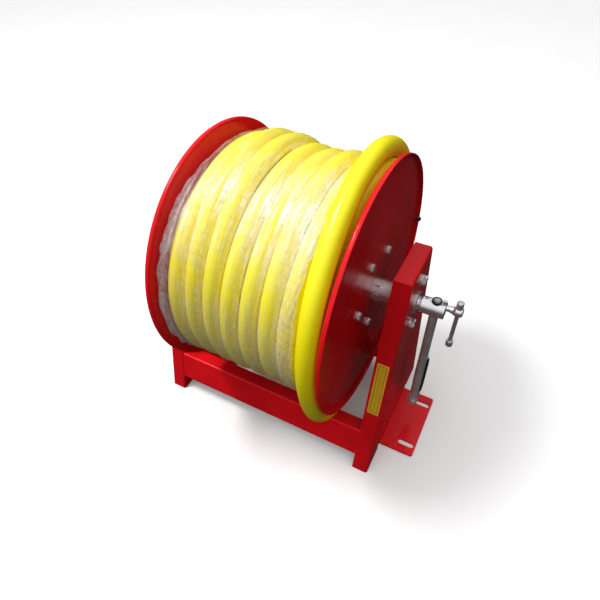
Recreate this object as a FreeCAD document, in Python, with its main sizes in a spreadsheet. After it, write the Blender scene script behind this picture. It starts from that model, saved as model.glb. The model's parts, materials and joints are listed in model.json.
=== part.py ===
"""Fire hose reel: a hand-cranked steel drum of hose between two folded side frames.

Frame of the model: +X along the drum's axis towards the crank, +Y to the back, +Z up.
The origin is on the ground, below the drum's axis and midway between the side frames.
"""
import FreeCAD, Part
import math
import os
import Sketcher

Vector = FreeCAD.Vector

# Driving dimensions in millimetres and degrees. Every alias is a cell of the sheet "dims".
DIMENSIONS = {
    # side frames and beams
    "axis_height": 352.5,
    "side_reach": 227.5,
    "frame_sheet": 4,
    "frame_top": 432.8,
    "foot_half_width": 152.5,
    "top_half_width": 54.1,
    "flange_depth": 31.5,
    "frame_bend": 5,
    "base_reach": 69.5,
    "base_half_width": 78,
    "notch_width": 14,
    "notch_height": 12,
    "slot_half_spacing": 55,
    "slot_near": 32.5,
    "slot_far": 66.5,
    "slot_radius": 5.5,
    "frame_bore": 22.5,
    "beam_height": 68,
    "beam_sheet": 3,
    "beam_bend": 4,
    "beam_low": 36.6,
    "label_length": 118,
    "label_width": 22,
    "label_sheet": 0.5,
    "label_middle": 214.5,
    # bearings
    "bearing_angle": 72,
    "bearing_bolt_radius": 42,
    "bearing_bolt_hole": 5.25,
    "bearing_bolt_shank": 5,
    "bearing_bolt_flats": 16,
    "bearing_bolt_head": 6.4,
    "bearing_washer": 10,
    "bearing_washer_sheet": 1.6,
    "bearing_nut": 8,
    "housing_flange": 10,
    "housing_boss": 20.5,
    "housing_radius": 31,
    "bush_radius": 25,
    "bush_flange": 28,
    "running_gap": 0.05,
    # shaft and drum
    "shaft_radius": 21,
    "shaft_bore": 13,
    "shaft_right": 231.5,
    "shaft_left": 274,
    "stub_radius": 11.5,
    "stub_seat": 170,
    "stub_end": 252,
    "collar_radius": 29,
    "collar_width": 12,
    "disc_radius": 234,
    "disc_reach": 157.5,
    "disc_lip": 6.5,
    "disc_sheet": 2.5,
    "disc_bend": 5,
    "disc_bolt_circle": 72,
    "disc_bolt_angle": 40,
    "disc_bolt_hole": 4.5,
    "disc_bolt_shank": 3.97,
    "disc_bolt_flats": 13,
    "disc_bolt_head": 5.3,
    "disc_bolt_flange": 8.5,
    "core_radius": 120,
    "core_sheet": 3,
    "end_plate": 5,
    "knob_circle": 218,
    "knob_angle": 3.5,
    # crank
    "hub_start": 236,
    "hub_end": 278,
    "hub_radius": 15,
    "arm_place": 261,
    "arm_radius": 8,
    "arm_flat": 14,
    "arm_thread": 6,
    "arm_ring": 5,
    "arm_drop": 270,
    "eye_radius": 10,
    "eye_half": 4,
    "pin_radius": 4,
    "pin_flats": 13,
    "pin_head": 5.3,
    "pin_nut": 7,
    "grip_offset": 19.5,
    "grip_radius": 11,
    "grip_low": 256,
    "grip_high": 154,
    "spindle_radius": 5,
    # clamping screw with its sliding bar
    "screw_lift": 7.5,
    "screw_radius": 5,
    "screw_head": 8.5,
    "screw_end": 306,
    "bar_place": 298,
    "bar_radius": 3.5,
    "bar_knob": 6,
    "bar_knob_length": 13,
    "bar_up": 21.6,
    "bar_down": 83.5,
    # hose and its fittings
    "hose_diameter": 34,
    "coil_gap": 0.5,
    "first_turn": 137.5,
    "coupling_circle": 232,
    "coupling_place": 117,
    "ferrule_radius": 20,
    "outlet_thread": 16.6,
    "riser_radius": 11.5,
    "riser_bore": 9,
    "inlet_end": 306,
    "inlet_thread": 15.15,
    "inlet_depth": 14,
}
SLOPE = (DIMENSIONS["foot_half_width"] - DIMENSIONS["top_half_width"]) / DIMENSIONS["frame_top"]
SLOPE_ANGLE = math.degrees(math.atan(SLOPE))
DISC_BOLTS = 5
PLATE_FACE = "(dims.disc_reach - dims.disc_lip - dims.disc_sheet)"
RISER_PLACE = "(%s - dims.hose_diameter / 2 - 1.5)" % PLATE_FACE
LOCK_SEAT = "dims.axis_height + dims.screw_lift + dims.screw_radius + 0.5"

doc = FreeCAD.newDocument("hose_reel")
sheet = doc.addObject("Spreadsheet::Sheet", "dims")
for row, (alias, value) in enumerate(DIMENSIONS.items(), start=1):
    sheet.set("A%d" % row, alias)
    sheet.set("B%d" % row, str(value))
    sheet.setAlias("B%d" % row, alias)
doc.recompute()

nodes = []


def dim(alias):
    """The value of a driving dimension, read from the sheet."""
    return float(sheet.get(alias))


def bind(obj, expressions):
    """Bind the object's properties to expressions of the sheet."""
    for prop, expression in expressions.items():
        obj.setExpression(prop, expression)
    return obj


def keep(obj, label):
    """List a finished object as a sub-part under its own label."""
    obj.Label = label
    nodes.append(obj)
    return obj


# ---------------------------------------------------------------- sketches and bodies

def origin_feature(body, role):
    return [item for item in body.Origin.OriginFeatures if item.Role == role][0]


def new_body(label):
    return doc.addObject("PartDesign::Body", label + "_body")


def new_sketch(body, plane):
    sketch = body.newObject("Sketcher::SketchObject", "outline")
    sketch.AttachmentSupport = [(origin_feature(body, plane), "")]
    sketch.MapMode = "FlatFace"
    return sketch


def constrain(sketch, kind, refs, expression):
    index = sketch.addConstraint(Sketcher.Constraint(kind, *refs, 1.0))
    sketch.setExpression("Constraints[%d]" % index, expression)


def polygon(sketch, corners):
    """Closed outline whose corners are pairs of expressions."""
    count = len(corners)
    first = sketch.GeometryCount
    start = [Vector(50 * math.cos(math.tau * i / count), 50 * math.sin(math.tau * i / count), 0)
             for i in range(count)]
    for i in range(count):
        sketch.addGeometry(Part.LineSegment(start[i], start[(i + 1) % count]), False)
    for i in range(count):
        sketch.addConstraint(Sketcher.Constraint("Coincident", first + i, 2, first + (i + 1) % count, 1))
    for i, (across, up) in enumerate(corners):
        constrain(sketch, "DistanceX", (-1, 1, first + i, 1), across)
        constrain(sketch, "DistanceY", (-1, 1, first + i, 1), up)


def circle(sketch, across, up, radius):
    index = sketch.addGeometry(Part.Circle(Vector(9, 9, 0), Vector(0, 0, 1), 5), False)
    constrain(sketch, "DistanceX", (-1, 1, index, 3), across)
    constrain(sketch, "DistanceY", (-1, 1, index, 3), up)
    constrain(sketch, "Radius", (index,), radius)


def rectangle(sketch, low_x, low_y, high_x, high_y):
    polygon(sketch, [(low_x, low_y), (high_x, low_y), (high_x, high_y), (low_x, high_y)])


def feature(body, kind, sketch, settings, expressions):
    item = body.newObject("PartDesign::" + kind, kind.lower())
    item.Profile = sketch
    for name, value in settings.items():
        setattr(item, name, value)
    bind(item, expressions)
    body.Tip = item
    return item


def pad(body, sketch, length, reverse=False):
    return feature(body, "Pad", sketch, {"Reversed": reverse}, {"Length": length})


def pocket(body, sketch, length, reverse=False):
    """Cut that has to take material away."""
    doc.recompute()
    before = body.Shape.Volume
    item = feature(body, "Pocket", sketch, {"Reversed": reverse}, {"Length": length})
    doc.recompute()
    if body.Shape.Volume > before - 1:
        raise ValueError("%s: a pocket cuts nothing" % body.Name)
    return item


def round_edges(body, radius, chosen):
    """Fillet the edges that the test picks."""
    doc.recompute()
    base = body.Tip
    names = ["Edge%d" % i for i, edge in enumerate(base.Shape.Edges, start=1) if chosen(edge)]
    if not names:
        raise ValueError("%s: no edge to round" % body.Name)
    item = body.newObject("PartDesign::Fillet", "fillet")
    item.Base = (base, names)
    bind(item, {"Radius": radius})
    body.Tip = item
    return item


def turned(label, outline, upright=False, place=None):
    """Round body about its own X axis, or its Z axis if upright, from (along, radius) pairs."""
    body = new_body(label)
    if upright:
        sketch = new_sketch(body, "XZ_Plane")
        polygon(sketch, [(radius, along) for along, radius in outline])
        axis = "V_Axis"
    else:
        sketch = new_sketch(body, "XY_Plane")
        polygon(sketch, outline)
        axis = "H_Axis"
    item = feature(body, "Revolution", sketch, {}, {})
    item.ReferenceAxis = (sketch, [axis])
    item.Angle = 360
    bind(body, {"Placement.Base.z": "dims.axis_height"})
    bind(body, place or {})
    return body


def is_ring(edge, radius, along=None, tolerance=0.02):
    """True for a circle about the X axis with this radius, at this X where one is given."""
    curve = edge.Curve
    if not isinstance(curve, Part.Circle) or abs(curve.Radius - radius) > tolerance:
        return False
    return along is None or abs(curve.Center.x - along) < tolerance


# ---------------------------------------------------------------- primitives

def cylinder(name, radius, length, turn, place):
    """Part cylinder, turned from +Z by the rotation and placed by expressions."""
    item = doc.addObject("Part::Cylinder", name)
    item.Placement = FreeCAD.Placement(Vector(0, 0, 0), turn)
    return bind(item, dict({"Radius": radius, "Height": length}, **place))


def prism(name, across_flats, length, turn, place):
    """Hexagonal head with two flats square to local X and its corners taken off at the far end."""
    bar = doc.addObject("Part::Prism", name + "_hex")
    bar.Polygon = 6
    bind(bar, {"Circumradius": "(%s) / 2 / cos(30)" % across_flats, "Height": length})
    cone = doc.addObject("Part::Cone", name + "_cone")
    bind(cone, {"Radius1": "(%s) * 0.5 + (%s)" % (across_flats, length),
                "Radius2": "(%s) * 0.5" % across_flats, "Height": length})
    head = doc.addObject("Part::Common", name)
    head.Base = bar
    head.Tool = cone
    head.Placement = FreeCAD.Placement(Vector(0, 0, 0), turn.multiply(FreeCAD.Rotation(Vector(0, 0, 1), 30)))
    return bind(head, place)


def joined(kind, name, first, second):
    item = doc.addObject("Part::" + kind, name)
    item.Base = first
    item.Tool = second
    return item


def group(label, parts):
    item = doc.addObject("Part::Compound", label)
    item.Links = parts
    return keep(item, label)


UP = FreeCAD.Rotation()
ALONG_X = FreeCAD.Rotation(Vector(0, 1, 0), 90)
AGAINST_X = FreeCAD.Rotation(Vector(0, 1, 0), -90)
ALONG_Y = FreeCAD.Rotation(Vector(1, 0, 0), -90)
AGAINST_Y = FreeCAD.Rotation(Vector(1, 0, 0), 90)
DOWN = FreeCAD.Rotation(Vector(1, 0, 0), 180)


def at(x, y="0", z="dims.axis_height"):
    return {"Placement.Base.x": x, "Placement.Base.y": y, "Placement.Base.z": z}


# ---------------------------------------------------------------- frame

def side_frame(label, web_x):
    """Folded sheet: a web with three flanges towards -X and a slotted foot towards +X."""
    body = new_body(label)
    outline = new_sketch(body, "YZ_Plane")
    polygon(outline, [("-dims.foot_half_width", "0"), ("dims.foot_half_width", "0"),
                      ("dims.top_half_width", "dims.frame_top"), ("-dims.top_half_width", "dims.frame_top")])
    pad(body, outline, "dims.flange_depth", reverse=True)

    def outer_bend(edge):
        middle = edge.BoundBox.Center
        return abs(middle.x) < 0.01 and edge.BoundBox.XLength < 0.01 and middle.z > 1

    round_edges(body, "dims.frame_bend", outer_bend)
    inset = "dims.frame_sheet * sqrt(1 + %.6f ^ 2)" % SLOPE
    low = "-20"
    high = "dims.frame_top - dims.frame_sheet"
    half = "(dims.foot_half_width - (%s) - %.6f * (%s))"
    hollow = new_sketch(body, "YZ_Plane")
    wide = half % (inset, SLOPE, low)
    narrow = half % (inset, SLOPE, high)
    polygon(hollow, [("-" + wide, low), (wide, low), (narrow, high), ("-" + narrow, high)])
    bind(hollow, {"AttachmentOffset.Base.z": "-dims.frame_sheet"})
    pocket(body, hollow, "dims.flange_depth")

    foot = new_sketch(body, "XY_Plane")
    rectangle(foot, "-dims.frame_sheet / 2", "-dims.base_half_width",
              "dims.base_reach", "dims.base_half_width")
    pad(body, foot, "dims.frame_sheet")
    slots = new_sketch(body, "XY_Plane")
    for side in ("-", ""):
        middle = side + "dims.slot_half_spacing"
        rectangle(slots, "dims.slot_near + dims.slot_radius", "%s - dims.slot_radius" % middle,
                  "dims.slot_far - dims.slot_radius", "%s + dims.slot_radius" % middle)
    pocket(body, slots, "dims.frame_sheet", reverse=True)
    for end in ("dims.slot_near + dims.slot_radius", "dims.slot_far - dims.slot_radius"):
        ends = new_sketch(body, "XY_Plane")
        for side in ("-", ""):
            circle(ends, end, side + "dims.slot_half_spacing", "dims.slot_radius")
        pocket(body, ends, "dims.frame_sheet", reverse=True)

    notches = new_sketch(body, "YZ_Plane")
    rectangle(notches, "dims.base_half_width", "-1",
              "dims.base_half_width + dims.notch_width", "dims.notch_height")
    rectangle(notches, "-dims.base_half_width - dims.notch_width", "-1", "-dims.base_half_width",
              "dims.notch_height")
    pocket(body, notches, "dims.frame_sheet")

    holes = new_sketch(body, "YZ_Plane")
    circle(holes, "0", "dims.axis_height", "dims.frame_bore")
    for sign in ("", "-"):
        circle(holes, "%s dims.bearing_bolt_radius * cos(dims.bearing_angle)" % sign,
               "dims.axis_height + (%s dims.bearing_bolt_radius * sin(dims.bearing_angle))" % sign,
               "dims.bearing_bolt_hole")
    pocket(body, holes, "dims.frame_sheet")

    def foot_bend(edge):
        middle = edge.BoundBox.Center
        inner = abs(middle.x) < 0.01 and abs(middle.z - dim("frame_sheet")) < 0.01
        return inner and edge.BoundBox.YLength > dim("base_half_width")

    round_edges(body, "dims.frame_sheet * 0.8", foot_bend)

    def foot_corner(edge):
        middle = edge.BoundBox.Center
        return abs(middle.x - dim("base_reach")) < 0.01 and edge.BoundBox.YLength < 0.01

    round_edges(body, "dims.slot_radius", foot_corner)
    bind(body, {"Placement.Base.x": web_x})
    return keep(body, label)


def beam(label, turned_round):
    """Folded channel along X, leaning with the legs and open towards the middle of the reel."""
    body = new_body(label)
    outline = new_sketch(body, "XZ_Plane")
    rectangle(outline, "0", "0", "2 * dims.side_reach - dims.flange_depth", "dims.beam_height")
    pad(body, outline, "dims.flange_depth", reverse=True)

    def fold(edge):
        middle = edge.BoundBox.Center
        return abs(middle.y) < 0.01 and edge.BoundBox.XLength > 1 and edge.BoundBox.ZLength < 0.01

    round_edges(body, "dims.beam_bend", fold)
    hollow = new_sketch(body, "XZ_Plane")
    rectangle(hollow, "-1", "dims.beam_sheet", "2 * dims.side_reach - dims.flange_depth + 1",
              "dims.beam_height - dims.beam_sheet")
    bind(hollow, {"AttachmentOffset.Base.z": "-dims.beam_sheet"})
    pocket(body, hollow, "dims.flange_depth")
    lean = FreeCAD.Rotation(Vector(1, 0, 0), -SLOPE_ANGLE)
    side = FreeCAD.Rotation(Vector(0, 0, 1), 180 if turned_round else 0)
    body.Placement = FreeCAD.Placement(Vector(0, 0, 0), side.multiply(lean))
    face = "(dims.foot_half_width - %.6f * dims.beam_low)" % SLOPE
    if turned_round:
        bind(body, at("dims.side_reach - dims.flange_depth", face, "dims.beam_low"))
    else:
        bind(body, at("-dims.side_reach", "-" + face, "dims.beam_low"))
    return keep(body, label)


def label_plate():
    """Thin plate on the front flange of the right side frame."""
    plate = doc.addObject("Part::Box", "label_blank")
    bind(plate, {"Length": "dims.label_width", "Width": "dims.label_sheet", "Height": "dims.label_length"})
    corners = doc.addObject("Part::Fillet", "label_plate")
    doc.recompute()
    corners.Base = plate
    upright = [i for i, edge in enumerate(plate.Shape.Edges, start=1) if edge.BoundBox.YLength > 0.1]
    corners.Edges = [(i, 2.0, 2.0) for i in upright]
    corners.Placement = FreeCAD.Placement(Vector(0, 0, 0), FreeCAD.Rotation(Vector(1, 0, 0), -SLOPE_ANGLE))
    low = "(dims.label_middle - dims.label_length / 2 * %.6f)" % math.cos(math.radians(SLOPE_ANGLE))
    lift = "(dims.label_sheet * %.6f)" % math.cos(math.radians(SLOPE_ANGLE))
    bind(corners, at("dims.side_reach - dims.flange_depth / 2 - dims.label_width / 2",
                     "-dims.foot_half_width + %.6f * %s - %s" % (SLOPE, low, lift),
                     "%s + dims.label_sheet * %.6f" % (low, math.sin(math.radians(SLOPE_ANGLE)))))
    return keep(corners, "label_plate")


def bearing(side, web_back):
    """Two-bolt flange bearing behind the web, with its bronze bush, bolts, washers and nuts."""
    housing = new_body(side + "_bearing_housing")
    ears = new_sketch(housing, "YZ_Plane")
    polygon(ears, [("-72", "0"), ("0", "-42"), ("72", "0"), ("0", "42")])
    pad(housing, ears, "dims.housing_flange", reverse=True)

    def corner(edge):
        return edge.BoundBox.XLength > 1 and abs(edge.BoundBox.Center.y) > 60

    def waist(edge):
        return edge.BoundBox.XLength > 1 and abs(edge.BoundBox.Center.z) > 35

    round_edges(housing, "14", corner)
    round_edges(housing, "30", waist)
    boss = new_sketch(housing, "YZ_Plane")
    circle(boss, "0", "0", "dims.housing_radius")
    pad(housing, boss, "dims.housing_boss", reverse=True)
    bores = new_sketch(housing, "YZ_Plane")
    circle(bores, "0", "0", "dims.bush_radius")
    pocket(housing, bores, "dims.housing_boss")
    bolts = new_sketch(housing, "YZ_Plane")
    for sign in ("-", ""):
        circle(bolts, sign + "dims.bearing_bolt_radius", "0", "dims.bearing_bolt_hole")
    pocket(housing, bolts, "dims.housing_flange")
    round_edges(housing, "1.5", lambda edge: is_ring(edge, dim("housing_radius"), -dim("housing_boss")))
    lean = FreeCAD.Rotation(Vector(1, 0, 0), dim("bearing_angle"))
    housing.Placement = FreeCAD.Placement(Vector(0, 0, 0), lean)
    bind(housing, at(web_back))
    keep(housing, side + "_bearing_housing")

    bush = turned(side + "_bush", [
        ("-dims.housing_boss - 2.5", "dims.shaft_radius + dims.running_gap"),
        ("0", "dims.shaft_radius + dims.running_gap"),
        ("0", "dims.bush_radius"),
        ("-dims.housing_boss", "dims.bush_radius"),
        ("-dims.housing_boss", "dims.bush_flange"),
        ("-dims.housing_boss - 2.5", "dims.bush_flange")], place={"Placement.Base.x": web_back})
    keep(bush, side + "_bearing_bush")

    bolts = []
    washers = []
    nuts = []
    face = "(%s) + dims.frame_sheet" % web_back
    back = "(%s) - dims.housing_flange" % web_back
    for number, sign in enumerate(("", "-")):
        across = "%s dims.bearing_bolt_radius * cos(dims.bearing_angle)" % sign
        up = "dims.axis_height + (%s dims.bearing_bolt_radius * sin(dims.bearing_angle))" % sign
        name = "%s_bolt_%d" % (side, number)
        head = prism(name + "_head", "dims.bearing_bolt_flats", "dims.bearing_bolt_head", ALONG_X,
                     at(face + " + dims.bearing_washer_sheet", across, up))
        shank = cylinder(name + "_shank", "dims.bearing_bolt_shank",
                         "dims.frame_sheet + dims.housing_flange + dims.bearing_nut + 5.6", AGAINST_X,
                         at(face + " + 2", across, up))
        bolts.append(joined("Fuse", name, head, shank))
        blank = cylinder(name + "_washer_blank", "dims.bearing_washer", "dims.bearing_washer_sheet", ALONG_X,
                         at(face, across, up))
        hole = cylinder(name + "_washer_hole", "dims.bearing_bolt_hole", "4", ALONG_X,
                        at(face + " - 1", across, up))
        washers.append(joined("Cut", name + "_washer", blank, hole))
        nut = prism(name + "_nut_blank", "dims.bearing_bolt_flats", "dims.bearing_nut", AGAINST_X,
                    at(back, across, up))
        thread = cylinder(name + "_nut_hole", "dims.bearing_bolt_shank", "12", AGAINST_X,
                          at(back + " + 1", across, up))
        nuts.append(joined("Cut", name + "_nut", nut, thread))
    group(side + "_bearing_bolts", bolts)
    group(side + "_bearing_washers", washers)
    group(side + "_bearing_nuts", nuts)


# ---------------------------------------------------------------- drum

def shaft():
    """Hollow shaft: water runs in its left part, the solid stub for the crank fills its right end."""
    tube = turned("shaft_tube", [
        ("-dims.shaft_left", "dims.shaft_bore"),
        ("dims.shaft_right", "dims.shaft_bore"),
        ("dims.shaft_right", "dims.shaft_radius - 1.5"),
        ("dims.shaft_right - 1.5", "dims.shaft_radius"),
        ("-dims.shaft_left + 20", "dims.shaft_radius"),
        ("-dims.shaft_left + 18", "16.6"),
        ("-dims.shaft_left", "16.6")])
    port = cylinder("shaft_port", "dims.riser_bore", "40", AGAINST_Y, at("-" + RISER_PLACE))
    keep(joined("Cut", "hollow_shaft", tube, port), "hollow_shaft")
    stub = turned("stub", [
        ("dims.stub_seat", "0"),
        ("dims.stub_end - 1", "0"),
        ("dims.stub_end - 1", "dims.stub_radius - 1"),
        ("dims.stub_end - 2", "dims.stub_radius"),
        ("dims.shaft_right", "dims.stub_radius"),
        ("dims.shaft_right", "dims.shaft_bore"),
        ("dims.stub_seat + 1", "dims.shaft_bore"),
        ("dims.stub_seat", "dims.shaft_bore - 1")])
    keep(joined("Cut", "stub_shaft", stub, hub_pin("stub_pin_hole", "40")), "stub_shaft")


def hub_pin(name, length):
    """Cross pin, or the hole for it, that fastens the crank hub on the stub."""
    return cylinder(name, "2.5", length, UP,
                    at("dims.hub_start + 7", "0", "dims.axis_height - (%s) / 2" % length))


def shaft_collar(side, start):
    """Ring with a socket set screw that keeps the shaft from sliding in its bearings."""
    ring = turned(side + "_collar", [
        ("0", "dims.shaft_radius"), ("dims.collar_width", "dims.shaft_radius"),
        ("dims.collar_width", "dims.collar_radius - 1"), ("dims.collar_width - 1", "dims.collar_radius"),
        ("1", "dims.collar_radius"), ("0", "dims.collar_radius - 1")], place={"Placement.Base.x": start})
    hole = cylinder(side + "_collar_hole", "3", "20", UP,
                    at("%s + dims.collar_width / 2" % start, "0", "dims.axis_height + dims.shaft_radius - 1"))
    keep(joined("Cut", side + "_collar", ring, hole), side + "_shaft_collar")
    screw = cylinder(side + "_set_screw", "3", "dims.collar_radius - dims.shaft_radius - 0.5", UP,
                     at("%s + dims.collar_width / 2" % start, "0", "dims.axis_height + dims.shaft_radius"))
    keep(screw, side + "_collar_screw")


def disc(side, sign):
    """Pressed disc: flat plate with a rounded lip turned away from the hose."""
    reach = "(%s dims.disc_reach)" % sign
    inner = "(%s (dims.disc_reach - dims.disc_lip - dims.disc_sheet))" % sign
    outer = "(%s (dims.disc_reach - dims.disc_lip))" % sign
    body = turned(side + "_disc", [
        (inner, "dims.shaft_radius + 0.3"), (inner, "dims.disc_radius"),
        (reach, "dims.disc_radius"), (reach, "dims.disc_radius - dims.disc_sheet"),
        (outer, "dims.disc_radius - dims.disc_sheet"), (outer, "dims.shaft_radius + 0.3")])
    way = -1 if sign else 1
    edge_x = way * dim("disc_reach")
    plate_x = edge_x - way * dim("disc_lip")
    bend_x = plate_x - way * dim("disc_sheet")
    lip_radius = dim("disc_radius") - dim("disc_sheet")
    round_edges(body, "dims.disc_bend", lambda edge: is_ring(edge, dim("disc_radius"), bend_x))
    round_edges(body, "dims.disc_bend - dims.disc_sheet", lambda edge: is_ring(edge, lip_radius, plate_x))

    def rim(edge):
        return is_ring(edge, dim("disc_radius"), edge_x) or is_ring(edge, lip_radius, edge_x)

    round_edges(body, "1", rim)
    drill_circle(body, "dims.disc_bolt_hole", "dims.disc_reach + 5")
    return keep(body, side + "_disc")


def drill_circle(body, radius, reach):
    """Holes on the disc's bolt circle, drilled along X through both halves of the drum."""
    sketch = new_sketch(body, "YZ_Plane")
    for number in range(DISC_BOLTS):
        across, up = disc_bolt_place(number)
        circle(sketch, across, up, radius)
    doc.recompute()
    before = body.Shape.Volume
    feature(body, "Pocket", sketch, {"Midplane": True}, {"Length": "2 * (%s)" % reach})
    doc.recompute()
    if body.Shape.Volume > before - 1:
        raise ValueError("%s: a drilled circle cuts nothing" % body.Name)


def disc_bolt_place(number):
    """Y, and Z above the axis, of one of the disc's bolts."""
    angle = "(dims.disc_bolt_angle + %d)" % (360 / DISC_BOLTS * number)
    return "dims.disc_bolt_circle * cos%s" % angle, "dims.disc_bolt_circle * sin%s" % angle


def disc_bolts(side, sign):
    """Flange-headed screws that fasten a disc on the end plate of the core."""
    outward = AGAINST_X if sign else ALONG_X
    inward = ALONG_X if sign else AGAINST_X
    face = "%s (dims.disc_reach - dims.disc_lip)" % sign
    above = "%s (dims.disc_reach - dims.disc_lip + 1)" % sign
    bolts = []
    for number in range(DISC_BOLTS):
        across, lift = disc_bolt_place(number)
        up = "dims.axis_height + (%s)" % lift
        name = "%s_disc_bolt_%d" % (side, number)
        head = prism(name + "_head", "dims.disc_bolt_flats", "dims.disc_bolt_head", outward,
                     at(face, across, up))
        flange = cylinder(name + "_flange", "dims.disc_bolt_flange", "1.4", outward, at(face, across, up))
        shank = cylinder(name + "_shank", "dims.disc_bolt_shank", "9", inward, at(above, across, up))
        bolts.append(joined("Fuse", name, joined("Fuse", name + "_top", head, flange), shank))
    group(side + "_disc_bolts", bolts)


def drum():
    """Drum core with the end plates that are welded on the shaft, its two discs and their bolts."""
    inside = "dims.core_radius - dims.core_sheet"
    core = turned("core_blank", [
        ("-" + PLATE_FACE, inside), (PLATE_FACE, inside),
        (PLATE_FACE, "dims.core_radius"), ("-" + PLATE_FACE, "dims.core_radius")])
    window = cylinder("core_window", "dims.hose_diameter / 2", "dims.core_radius + 10", AGAINST_Y,
                      at("-" + RISER_PLACE))
    keep(joined("Cut", "drum_core", core, window), "drum_core")
    for side, sign in (("left", "-"), ("right", "")):
        far = "%s %s" % (sign, PLATE_FACE)
        near = "%s (%s - dims.end_plate)" % (sign, PLATE_FACE)
        plate = turned(side + "_end_plate", [
            (near, "dims.shaft_radius"), (near, inside), (far, inside), (far, "dims.shaft_radius")])
        drill_circle(plate, "4", "dims.disc_reach")
        keep(plate, side + "_end_plate")
        disc(side, sign)
        disc_bolts(side, sign)


def rim_knob():
    """Small button near the rim of the right disc."""
    keep(turned("rim_knob", [
        ("0", "0"), ("13", "0"), ("13", "2.5"), ("11", "4.5"), ("6", "4.5"), ("4", "3.2"), ("2", "3.2"),
        ("2", "5"), ("0", "5")], place=at(
            "dims.disc_reach - dims.disc_lip", "dims.knob_circle * cos(dims.knob_angle)",
            "dims.axis_height + dims.knob_circle * sin(dims.knob_angle)")), "rim_knob")


# ---------------------------------------------------------------- crank

def crank():
    """Hub on the stub, the arm that slides through it, and its folding grip."""
    hub = turned("crank_hub", [
        ("dims.hub_start", "dims.stub_radius"), ("dims.stub_end", "dims.stub_radius"),
        ("dims.stub_end", "0"), ("dims.hub_end", "0"),
        ("dims.hub_end", "dims.hub_radius - 1"), ("dims.hub_end - 1", "dims.hub_radius"),
        ("dims.hub_start + 1.5", "dims.hub_radius"), ("dims.hub_start", "dims.hub_radius - 1.5")])
    cross = cylinder("hub_cross_hole", "dims.arm_radius + dims.running_gap", "60", UP,
                     at("dims.arm_place", "0", "dims.axis_height - 30"))
    tapped = cylinder("hub_screw_hole", "dims.screw_radius + dims.running_gap",
                      "dims.hub_end - dims.arm_place + 2", ALONG_X,
                      at("dims.arm_place", "0", "dims.axis_height + dims.screw_lift"))
    spot = cylinder("hub_spot_face", "13", "10", UP,
                    at("dims.arm_place", "0", "dims.axis_height + dims.arm_flat"))
    cuts = joined("Fuse", "hub_cuts", joined("Fuse", "hub_holes", cross, tapped), spot)
    lock_hole = cylinder("hub_lock_hole", "2.5", "20", UP, at("dims.hub_end - 4", "0", LOCK_SEAT))
    pins = joined("Fuse", "hub_pin_holes", hub_pin("hub_pin_hole", "40"), lock_hole)
    keep(joined("Cut", "crank_hub", joined("Cut", "hub_bored", hub, cuts), pins), "crank_hub")
    keep(hub_pin("hub_pin", "2 * (dims.hub_radius - 0.6)"), "hub_roll_pin")
    stem = cylinder("hub_lock_stem", "2.5", "6", UP, at("dims.hub_end - 4", "0", LOCK_SEAT))
    block = doc.addObject("Part::Box", "hub_lock_head")
    bind(block, {"Length": "6", "Width": "6", "Height": "6.5"})
    bind(block, at("dims.hub_end - 7", "-3", "dims.axis_height + dims.hub_radius + 0.1"))
    keep(joined("Fuse", "hub_lock_screw", stem, block), "hub_lock_screw")

    rod = turned("arm_rod", [
        ("-dims.arm_drop + 4", "0"), ("dims.arm_flat + dims.arm_ring", "0"),
        ("dims.arm_flat + dims.arm_ring", "dims.arm_thread - 1"),
        ("dims.arm_flat + dims.arm_ring - 1", "dims.arm_thread"), ("dims.arm_flat", "dims.arm_thread"),
        ("dims.arm_flat", "dims.arm_radius"), ("-dims.arm_drop + 4", "dims.arm_radius")],
        upright=True, place={"Placement.Base.x": "dims.arm_place"})
    eye = cylinder("arm_eye", "dims.eye_radius", "2 * dims.eye_half", AGAINST_Y,
                   at("dims.arm_place", "dims.eye_half", "dims.axis_height - dims.arm_drop"))
    flat = doc.addObject("Part::Box", "arm_flat_end")
    bind(flat, {"Length": "2 * dims.arm_radius", "Width": "2 * dims.eye_half", "Height": "24"})
    bind(flat, at("dims.arm_place - dims.arm_radius", "-dims.eye_half", "dims.axis_height - dims.arm_drop"))
    cutoff = doc.addObject("Part::Box", "arm_cutoff")
    bind(cutoff, {"Length": "40", "Width": "40", "Height": "22"})
    bind(cutoff, at("dims.arm_place - 20", "-20", "dims.axis_height - dims.arm_drop"))
    shortened = joined("Cut", "arm_shortened", rod, cutoff)
    bar = joined("Fuse", "arm_bar", joined("Fuse", "arm_flat_bar", shortened, flat), eye)
    hole = cylinder("arm_eye_hole", "dims.pin_radius + dims.running_gap", "30", AGAINST_Y,
                    at("dims.arm_place", "15", "dims.axis_height - dims.arm_drop"))
    keep(joined("Cut", "crank_arm", bar, hole), "crank_arm")

    keep(turned("arm_ring_turned", [
        ("dims.arm_flat", "dims.arm_thread"), ("dims.arm_flat + dims.arm_ring", "dims.arm_thread"),
        ("dims.arm_flat + dims.arm_ring", "dims.arm_radius - 0.3"),
        ("dims.arm_flat + dims.arm_ring - 1", "dims.arm_radius + 0.7"),
        ("dims.arm_flat", "dims.arm_radius + 0.7")],
        upright=True, place={"Placement.Base.x": "dims.arm_place"}), "arm_nut")


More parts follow.
